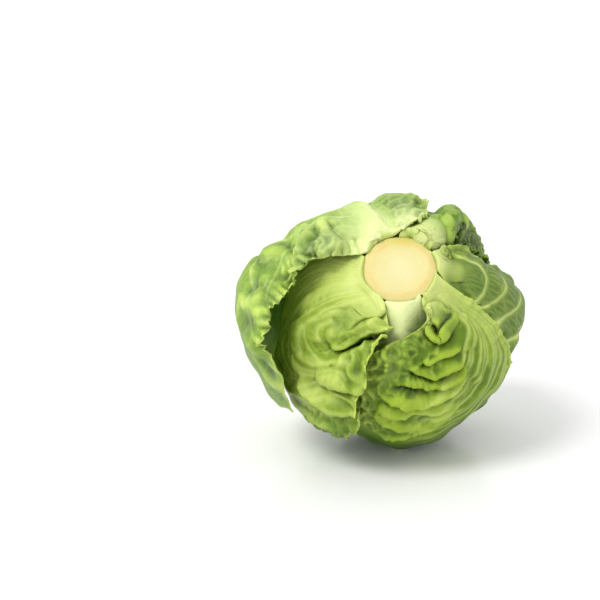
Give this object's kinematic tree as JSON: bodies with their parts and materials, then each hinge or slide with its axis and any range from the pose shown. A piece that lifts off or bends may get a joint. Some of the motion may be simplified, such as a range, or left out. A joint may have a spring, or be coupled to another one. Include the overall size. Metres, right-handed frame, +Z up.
{
  "type": "green cabbage",
  "caption": "Head of green cabbage lying on its side, cut stem raised, with folded, crumpled and flared outer leaves.",
  "frame": {"origin": "on the surface it lies on, straight below the middle of the packed head", "axes": "+Z up from the surface, -Y towards the side where the cut stem is raised, +X to the right of someone who looks at the stem"},
  "size_m": [0.1797, 0.1769, 0.167],
  "materials": {
    "inner_head": "packed heart leaves, pale green, semi-matt",
    "stem": "cut core, cream, matt",
    "inner_leaf_left": "waxy leaf",
    "inner_leaf_back": "waxy leaf",
    "front_rib_leaf": "waxy leaf with a pale thick midrib",
    "right_leaf": "waxy leaf, grey-green bloom",
    "front_right_leaf": "waxy leaf, folded",
    "front_left_leaf": "waxy leaf, folded",
    "crumpled_leaf": "crushed dark green leaf",
    "top_leaf": "loose waxy outer leaf"
  },
  "bodies": {
    "root": {"inner_head": "inner_head", "stem": "stem", "inner_leaf_left": "inner_leaf_left", "inner_leaf_back": "inner_leaf_back", "front_rib_leaf": "front_rib_leaf", "right_leaf": "right_leaf", "front_right_leaf": "front_right_leaf", "front_left_leaf": "front_left_leaf", "crumpled_leaf": "crumpled_leaf", "top_leaf": "top_leaf"}
  },
  "joints": []
}
